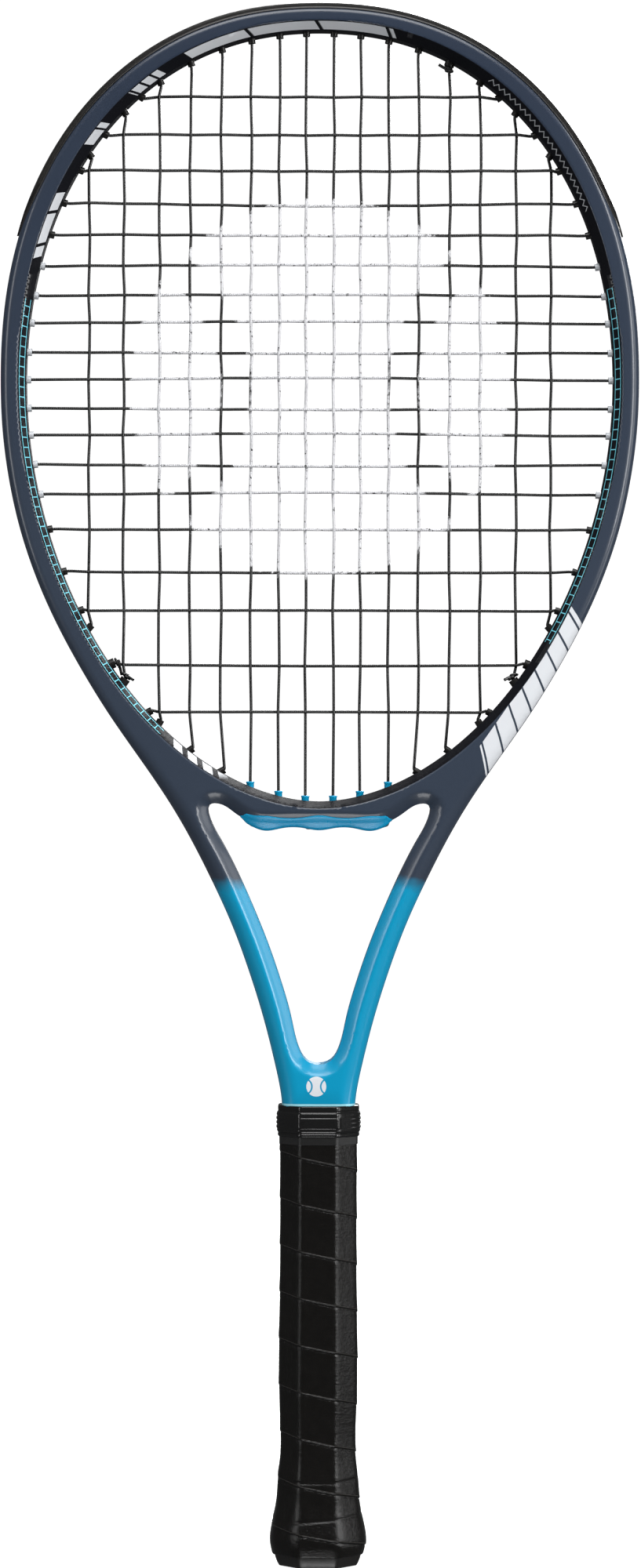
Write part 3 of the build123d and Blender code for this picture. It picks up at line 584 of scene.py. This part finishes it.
def make_throat_strip():
    """Blue strip under the bridge: three smooth waves and the barrels of the six middle mains."""
    top = THROAT[(THROAT[:, 1] > 322) & (np.abs(THROAT[:, 0]) < 40)]
    top = top[np.argsort(top[:, 0])]
    x = np.arange(-34.5, 32.1, 0.7)
    line = np.stack([x, np.interp(x, top[:, 0], top[:, 1])], axis=1)
    out = np.tile((0.0, -1.0), (len(x), 1))
    waves = sum(np.exp(-((x - middle) / 6.5) ** 2) for middle in (-23.5, 0.0, 22.5))
    ends = ease(x, -34.5, -31.5) * (1 - ease(x, 29.0, 32.0))
    width = 0.5 + (2.1 + 1.3 * waves) * ends
    reach = 0.3 + (0.9 + 1.45 * waves) * ends
    front = cover_rows(line, out, width, reach, 0.35, 0.0)
    back = [row * (1, -1, 1) for row in front[-2::-1]]
    mesh = grid_mesh("throat_strip", front + back, [barrel_part(place) for place in BRIDGE_MAINS])
    return add_piece("throat_strip", mesh, "throat_grommet", "blue_plastic")


def add_piece(name, mesh, node, slot):
    """Put a mesh in the scene in place of a CAD node."""
    piece = bpy.data.objects.new(name, mesh)
    bpy.context.scene.collection.objects.link(piece)
    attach(piece, "racket")
    if node:
        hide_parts(node)
    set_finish(piece, slot)
    return piece


# ---------------------------------------------------------------- materials
class Finish:
    """One procedural material; its methods add nodes and give back their outputs."""

    def __init__(self, name, roughness, **constants):
        self.material = bpy.data.materials.new(name)
        self.material.use_nodes = True
        self.tree = self.material.node_tree
        self.shader = self.tree.nodes["Principled BSDF"]
        self.set("Roughness", roughness)
        for socket, value in constants.items():
            self.set(socket.replace("_", " "), value)
        place = self.tree.nodes.new("ShaderNodeTexCoord").outputs["Object"]
        self.place = place
        split = self.tree.nodes.new("ShaderNodeSeparateXYZ")
        self.tree.links.new(place, split.inputs[0])
        self.x, self.y, self.z = (self.math("MULTIPLY", axis, 1000) for axis in split.outputs)

    def put(self, socket, value):
        if isinstance(value, bpy.types.NodeSocket):
            self.tree.links.new(value, socket)
        elif isinstance(value, tuple) and len(value) == 3 and socket.type == "RGBA":
            socket.default_value = (*value, 1)
        else:
            socket.default_value = value

    def set(self, socket, value):
        self.put(self.shader.inputs[socket], value)

    def math(self, operation, a, b=0.0, clamp=False):
        node = self.tree.nodes.new("ShaderNodeMath")
        node.operation = operation
        node.use_clamp = clamp
        self.put(node.inputs[0], a)
        self.put(node.inputs[1], b)
        return node.outputs[0]

    def attribute(self, name):
        node = self.tree.nodes.new("ShaderNodeAttribute")
        node.attribute_name = name
        return node.outputs["Fac"]

    def noise(self, scale, detail=3.0, stretch=(1, 1, 1)):
        """Noise from 0 to 1; scale is in features per metre."""
        mapping = self.tree.nodes.new("ShaderNodeMapping")
        mapping.inputs["Scale"].default_value = stretch
        self.tree.links.new(self.place, mapping.inputs["Vector"])
        node = self.tree.nodes.new("ShaderNodeTexNoise")
        self.tree.links.new(mapping.outputs[0], node.inputs["Vector"])
        node.inputs["Scale"].default_value = scale
        node.inputs["Detail"].default_value = detail
        return node.outputs["Fac"]

    def mix(self, share, a, b):
        """Colour a, turning into colour b as the share rises from 0 to 1."""
        node = self.tree.nodes.new("ShaderNodeMix")
        node.data_type = "RGBA"
        self.put(node.inputs["Factor"], share)
        self.put(node.inputs["A"], a)
        self.put(node.inputs["B"], b)
        return node.outputs["Result"]

    def between(self, value, low, high, soft):
        """1 where a value lies between two limits, with soft edges."""
        rise = self.math("DIVIDE", self.math("SUBTRACT", value, low), soft, clamp=True)
        fall = self.math("DIVIDE", self.math("SUBTRACT", high, value), soft, clamp=True)
        return self.math("MULTIPLY", rise, fall)

    def both(self, *masks):
        result = masks[0]
        for mask in masks[1:]:
            result = self.math("MULTIPLY", result, mask)
        return result

    def either(self, *masks):
        result = masks[0]
        for mask in masks[1:]:
            result = self.math("MAXIMUM", result, mask)
        return result

    def bump(self, height, strength, distance=0.0002):
        node = self.tree.nodes.new("ShaderNodeBump")
        node.inputs["Strength"].default_value = strength
        node.inputs["Distance"].default_value = distance
        self.put(node.inputs["Height"], height)
        self.set("Normal", node.outputs[0])

    def scatter(self, middle, spread, scale=900.0):
        """A value that wanders about its middle, for wear in the roughness."""
        wander = self.math("SUBTRACT", self.noise(scale), 0.5)
        return self.math("ADD", self.math("MULTIPLY", wander, spread), middle)


SLATE = (0.028, 0.040, 0.062)
DEEP_SLATE = (0.013, 0.022, 0.042)
BLUE = (0.0, 0.30, 0.52)
INK_WHITE = (0.74, 0.76, 0.79)
INK_CYAN = (0.22, 0.75, 0.90)
FACET_DARK = (0.005, 0.0045, 0.0055)
FLAKE = (0.075, 0.095, 0.14)       # the lacquer's metallic speckle
FOOT_LINE = (0.35, 0.75, 0.85)     # thin pale line where the frame meets the collar
SEAM_HIGHLIGHT = (0.035, 0.033, 0.030)  # painted highlight along the edge of each turn of the grip tape, where it would catch the light
BLUE_TOP = 303.0                   # height where blue gives way to slate, in millimetres


def slanted_blocks(paint, along, across, low, high, period, gap, slant):
    """Row of plain slanted blocks between two places, with thin gaps."""
    skewed = paint.math("ADD", along, paint.math("MULTIPLY", across, slant))
    share = paint.math("FRACT", paint.math("DIVIDE", skewed, period))
    solid = paint.between(share, gap / period, 1.02, 0.02)
    return paint.both(solid, paint.between(skewed, low, high, 0.15))


def ladder(paint, along, across, low, high):
    """Thin rails with rungs between them."""
    share = paint.math("FRACT", paint.math("DIVIDE", along, 4.4))
    rungs = paint.both(paint.between(share, 0.0, 0.13, 0.04), paint.between(across, 0.5, 2.7, 0.1))
    rails = paint.either(paint.between(across, 0.45, 0.75, 0.1), paint.between(across, 2.4, 2.7, 0.1))
    return paint.both(paint.either(rungs, rails), paint.between(along, low, high, 0.2))


def reach_from(finish, across, up):
    """Distance from a point, in the plane of the strings."""
    squares = [finish.math("MULTIPLY", axis, axis) for axis in (across, up)]
    return finish.math("SQRT", finish.math("ADD", *squares))


def ball(finish, x, z, radius, rough):
    """Mask of a plain ball with two curved seams left free of ink."""
    across = finish.math("DIVIDE", finish.math("SUBTRACT", finish.x, x), radius)
    up = finish.math("DIVIDE", finish.math("SUBTRACT", finish.z, z), radius)
    edge = finish.math("ADD", reach_from(finish, across, up), rough)
    disc = finish.between(edge, -1.0, 1.0, 0.02)
    side = finish.math("SUBTRACT", finish.math("ABSOLUTE", across), 1.25)
    seam = finish.math("ADD", reach_from(finish, side, up), finish.math("MULTIPLY", rough, 0.5))
    gap = finish.between(seam, 0.72, 0.90, 0.02)
    return finish.both(disc, finish.math("SUBTRACT", 1.0, gap))


def lacquer(paint):
    """Slate that is darker towards the top of the head and fades to blue in the throat."""
    drift = paint.math("MULTIPLY", paint.math("SUBTRACT", paint.noise(70.0), 0.5), 14.0)
    fade = paint.math("ADD", paint.z, drift)
    blue_share = paint.between(fade, -50.0, BLUE_TOP, 7.0)
    high_share = paint.between(paint.z, 430.0, 900.0, 220.0)
    flakes = paint.math("MULTIPLY", paint.noise(9000.0, 1.0), 0.25)
    slate = paint.mix(high_share, SLATE, DEEP_SLATE)
    slate = paint.mix(flakes, slate, FLAKE)
    return paint.mix(blue_share, slate, BLUE)


def facet_blocks(paint, place, across):
    """White slanted blocks on the facet, along the top and the left of the hoop."""
    blocks = [(-58.0, 34.0, 30.5, 1.4, 0.9), (-87.0, -71.0, 5.4, 1.2, 1.0), (-116.0, -104.0, 12.0, 1.0, 1.0),
              (-170.0, -140.0, 15.0, 1.4, 1.0), (-432.0, -400.0, 8.0, 3.0, 1.0)]
    return paint.either(*[slanted_blocks(paint, place, across, *block) for block in blocks])


def chain(paint, place, across):
    """Fine zigzag on the facet, at the upper right."""
    zigzag = paint.math("PINGPONG", paint.math("MULTIPLY", place, 0.8), 1.25)
    offset = paint.math("SUBTRACT", paint.math("SUBTRACT", across, 1.0), zigzag)
    line = paint.between(paint.math("ABSOLUTE", offset), -1.0, 0.28, 0.1)
    return paint.both(paint.between(place, 78.0, 150.0, 0.3), line)


def hoop_band(paint, place, across):
    """Broad white band of slanted blocks on the lower right of the hoop's face."""
    edge = paint.attribute("edge_distance")
    blocks = slanted_blocks(paint, place, edge, 331.0, 404.0, 9.8, 1.0, 0.6)
    return paint.both(blocks, paint.between(edge, 0.2, 10.3, 0.15), paint.between(across, 3.3, 40.0, 0.15))


def frame_paint(name, roughness, specular, coat):
    """Slate lacquer that fades to blue at the throat, with generic printed marks."""
    paint = Finish(name, roughness, Coat_Weight=coat, Coat_Roughness=0.1, Specular_IOR_Level=specular)
    place, across = paint.attribute("hoop_place"), paint.attribute("hoop_distance")
    facet = paint.both(paint.between(across, -1.0, FACET_WIDTH + 0.1, 0.15),
                       paint.between(paint.z, 326.0, 900.0, 1.0))
    colour = paint.mix(paint.math("MULTIPLY", facet, 0.93), lacquer(paint), FACET_DARK)
    above = paint.between(paint.z, 345.0, 900.0, 3.0)
    on_facet = paint.both(above, paint.between(across, 0.25, 2.95, 0.1))
    colour = paint.mix(paint.both(on_facet, facet_blocks(paint, place, across)), colour, INK_WHITE)
    pale = paint.math("MULTIPLY", paint.both(chain(paint, place, across), above), 0.6)
    colour = paint.mix(pale, colour, INK_WHITE)
    left_ladder = ladder(paint, place, across, -395.0, -190.0)
    right_ladder = ladder(paint, place, across, 185.0, 345.0)
    colour = paint.mix(paint.both(above, paint.either(left_ladder, right_ladder)), colour, INK_CYAN)
    colour = paint.mix(hoop_band(paint, place, across), colour, INK_WHITE)
    mark = paint.both(ball(paint, -1.0, 210.5, 4.4, 0.0), paint.between(paint.y, -30.0, 0.0, 0.2))
    colour = paint.mix(mark, colour, INK_WHITE)
    foot_line = paint.between(paint.z, 201.8, 202.9, 0.2)
    paint.set("Base Color", paint.mix(foot_line, colour, FOOT_LINE))
    paint.set("Roughness", paint.scatter(roughness, 0.1))
    paint.bump(paint.noise(420.0, 2.0), 0.06)
    return paint.material


def plastic(name, dark, light, roughness, spread=0.2):
    finish = Finish(name, roughness, Specular_IOR_Level=0.5)
    finish.set("Base Color", finish.mix(finish.noise(1400.0), dark, light))
    finish.set("Roughness", finish.scatter(roughness, spread))
    finish.bump(finish.noise(3000.0), 0.12)
    return finish.material


def painted(finish):
    """Mask of the stencil on the strings: a plain ball in rough ink."""
    noise = finish.math("SUBTRACT", finish.noise(520.0, 4.0), 0.5)
    rough = finish.math("MULTIPLY", noise, 0.12)
    chips = finish.between(finish.noise(900.0, 4.0), 0.36, 2.0, 0.03)
    return finish.both(ball(finish, 0.0, 517.0, 84.0, rough), chips)


def string_finish(name, roughness, rope):
    finish = Finish(name, roughness, Specular_IOR_Level=0.6)
    base = finish.mix(finish.noise(1500.0), (0.003, 0.003, 0.003), (0.012, 0.012, 0.012))
    ink = finish.mix(finish.noise(1200.0), (0.45, 0.45, 0.47), (0.78, 0.78, 0.80))
    finish.set("Base Color", finish.mix(painted(finish), base, ink))
    finish.set("Roughness", finish.scatter(roughness, 0.2))
    if rope:
        twist = finish.math("MULTIPLY", finish.x, 7.0)
        twist = finish.math("ADD", twist, finish.math("MULTIPLY", finish.z, 2.4))
        strands = finish.math("MULTIPLY", finish.math("SINE", twist), 0.5)
        finish.bump(finish.math("ADD", strands, finish.noise(2200.0)), 0.6)
    else:
        finish.bump(finish.noise(1800.0), 0.1)
    return finish.material


def grip_finish():
    """Black leather-like tape; a thin pale line of painted highlight marks the edge of each turn."""
    finish = Finish("grip_tape", 0.2, Specular_IOR_Level=0.36)
    leather = finish.mix(finish.noise(260.0), (0.0026, 0.0023, 0.002), (0.0065, 0.0058, 0.005))
    angle = finish.math("DIVIDE", finish.math("ARCTAN2", finish.y, finish.x), 2 * math.pi)
    rise = finish.math("ADD", finish.math("MULTIPLY", angle, GRIP_PITCH), finish.z)
    turn = finish.math("DIVIDE", finish.math("SUBTRACT", rise, GRIP_TOP - SEAM_DROP), GRIP_PITCH)
    share = finish.math("FRACT", finish.math("ADD", turn, 20.0))
    # painted highlight: a thin lighter line along the edge of each turn of the tape, where the edge would
    # catch the light
    seam = finish.between(share, 0.005, 0.035, 0.012)
    finish.set("Base Color", finish.mix(seam, leather, SEAM_HIGHLIGHT))
    finish.set("Roughness", finish.scatter(0.22, 0.18, 180.0))
    creases = finish.math("MULTIPLY", finish.noise(480.0, 2.0, (1, 1, 2.2)), 1.6)
    finish.bump(finish.math("ADD", finish.noise(2600.0, 5.0), creases), 0.35, 0.0003)
    return finish.material


def foam_finish():
    finish = Finish("handle_foam", 0.75)
    finish.set("Base Color", finish.mix(finish.noise(500.0), (0.50, 0.44, 0.30), (0.62, 0.56, 0.42)))
    finish.bump(finish.noise(2500.0), 0.4)
    return finish.material


def steel_finish():
    finish = Finish("steel", 0.3, Metallic=1.0)
    finish.set("Base Color", finish.mix(finish.noise(900.0), (0.45, 0.45, 0.46), (0.62, 0.62, 0.62)))
    finish.set("Roughness", finish.scatter(0.3, 0.15))
    return finish.material


FINISHES = {
    "frame_paint": frame_paint("frame_paint", 0.3, 0.38, 0.3),
    "black_plastic": plastic("black_plastic", (0.006, 0.0055, 0.005), (0.014, 0.013, 0.012), 0.36),
    "clear_plastic": plastic("clear_plastic", (0.55, 0.58, 0.62), (0.78, 0.80, 0.83), 0.25),
    "blue_plastic": plastic("blue_plastic", (0.0, 0.32, 0.60), (0.0, 0.38, 0.68), 0.3),
    "main_string_black": string_finish("main_string_black", 0.22, False),
    "cross_string_black": string_finish("cross_string_black", 0.5, True),
    "handle_foam": foam_finish(),
    "steel": steel_finish(),
    "grip_tape": grip_finish(),
    "finishing_tape": plastic("finishing_tape", (0.006, 0.006, 0.006), (0.012, 0.012, 0.012), 0.4),
    "collar_rubber": plastic("collar_rubber", (0.004, 0.004, 0.004), (0.010, 0.010, 0.010), 0.16, 0.08),
}
FACET_FINISH = frame_paint("frame_facet", 0.6, 0.08, 0.0)


def give_facet_finish(skin):
    """The inside of the hoop, facets and wall, is matt."""
    distance = np.zeros(len(skin.data.vertices))
    skin.data.attributes["hoop_distance"].data.foreach_get("value", distance)
    skin.data.materials.append(FACET_FINISH)
    for polygon in skin.data.polygons:
        if distance[list(polygon.vertices)].max() < FACET_WIDTH + 0.05:
            polygon.material_index = 1


def give_finishes(made):
    """Every CAD node and made piece takes the finish of its slot."""
    slots = {row["node"]: row["material_slot"] for row in frame["record"]["subparts"]}
    for node, part in frame["nodes"].items():
        material = FINISHES[slots[node]]
        if part.data.materials:
            for i in range(len(part.data.materials)):
                part.data.materials[i] = material
        else:
            part.data.materials.append(material)
    for piece in made:
        piece.data.materials.append(FINISHES[piece["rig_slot"]])


# ---------------------------------------------------------------- studio
def stage_plane(name, corners):
    """White plane that only the camera sees: it throws no light or shade on the racket."""
    mesh = bpy.data.meshes.new(name)
    mesh.from_pydata(corners, [], [(0, 1, 2, 3)])
    plane = bpy.data.objects.new(name, mesh)
    bpy.context.scene.collection.objects.link(plane)
    plane.visible_diffuse = False
    plane.visible_glossy = False
    plane.visible_shadow = False
    material = bpy.data.materials.new(name)
    material.use_nodes = True
    shader = material.node_tree.nodes["Principled BSDF"]
    shader.inputs["Base Color"].default_value = (0.4, 0.4, 0.4, 1)
    shader.inputs["Roughness"].default_value = 0.9
    shader.inputs["Emission Color"].default_value = (1, 1, 1, 1)
    shader.inputs["Emission Strength"].default_value = 1.0
    mesh.materials.append(material)


def softbox(name, place, target, width, height, power):
    light = bpy.data.lights.new(name, "AREA")
    light.shape = "RECTANGLE"
    light.size = width
    light.size_y = height
    light.energy = power
    lamp = bpy.data.objects.new(name, light)
    bpy.context.scene.collection.objects.link(lamp)
    lamp.location = place
    way = lamp.location.copy()
    way.x, way.y, way.z = (t - p for t, p in zip(target, place))
    lamp.rotation_mode = "QUATERNION"
    lamp.rotation_quaternion = way.to_track_quat("-Z", "Y")


def make_studio():
    corners = [(-ROOM, -ROOM), (ROOM, -ROOM), (ROOM, ROOM), (-ROOM, ROOM)]
    stage_plane("floor", [(x, y, FLOOR) for x, y in corners])
    for i, (x1, y1) in enumerate(corners):
        x2, y2 = corners[(i + 1) % 4]
        stage_plane(f"wall_{i}", [(x1, y1, FLOOR), (x2, y2, FLOOR), (x2, y2, ROOM), (x1, y1, ROOM)])
    softbox("key", (1.5, -1.2, 0.9), (0, 0, 0.35), 0.35, 1.6, 24)
    softbox("side", (1.9, -0.5, 0.5), (0, 0, 0.3), 0.5, 1.6, 9)
    softbox("fill", (-1.8, -1.2, 0.7), (0, 0, 0.35), 0.4, 1.5, 10)
    softbox("low", (0, -0.8, -1.2), (0, 0, 0.6), 0.8, 0.4, 6)
    softbox("front", (0, -1.5, 2.1), (0, 0, 0.35), 1.6, 0.8, 30)
    softbox("overhead", (0, -0.3, 2.0), (0, 0, 0.4), 1.2, 0.6, 10)
    softbox("back", (0.6, 2.2, 1.6), (0, 0, 0.35), 1.4, 1.4, 80)
    world = bpy.data.worlds.new("studio")
    world.use_nodes = True
    world.node_tree.nodes["Background"].inputs["Color"].default_value = (0.95, 0.97, 1, 1)
    world.node_tree.nodes["Background"].inputs["Strength"].default_value = 0.12
    bpy.context.scene.world = world
    bpy.context.scene.view_settings.view_transform = "Standard"


def make_camera():
    """Front view; the long side of the picture spans the whole racket at the strings."""
    lens = bpy.data.cameras.new("camera")
    lens.sensor_width = 36
    lens.lens = lens.sensor_width * CAMERA_DISTANCE / VIEW_SPAN
    camera = bpy.data.objects.new("camera", lens)
    bpy.context.scene.collection.objects.link(camera)
    camera.location = (0.0006, -CAMERA_DISTANCE, 0.3429)
    camera.rotation_euler = (math.radians(90), math.radians(-0.1), 0)
    bpy.context.scene.camera = camera


# ---------------------------------------------------------------- the whole scene
skin = make_frame_skin()
give_finishes([skin, make_grip(), make_collar(), make_bumper_cover(-1), make_bumper_cover(1),
               make_throat_strip()])
give_facet_finish(skin)
make_studio()
make_camera()
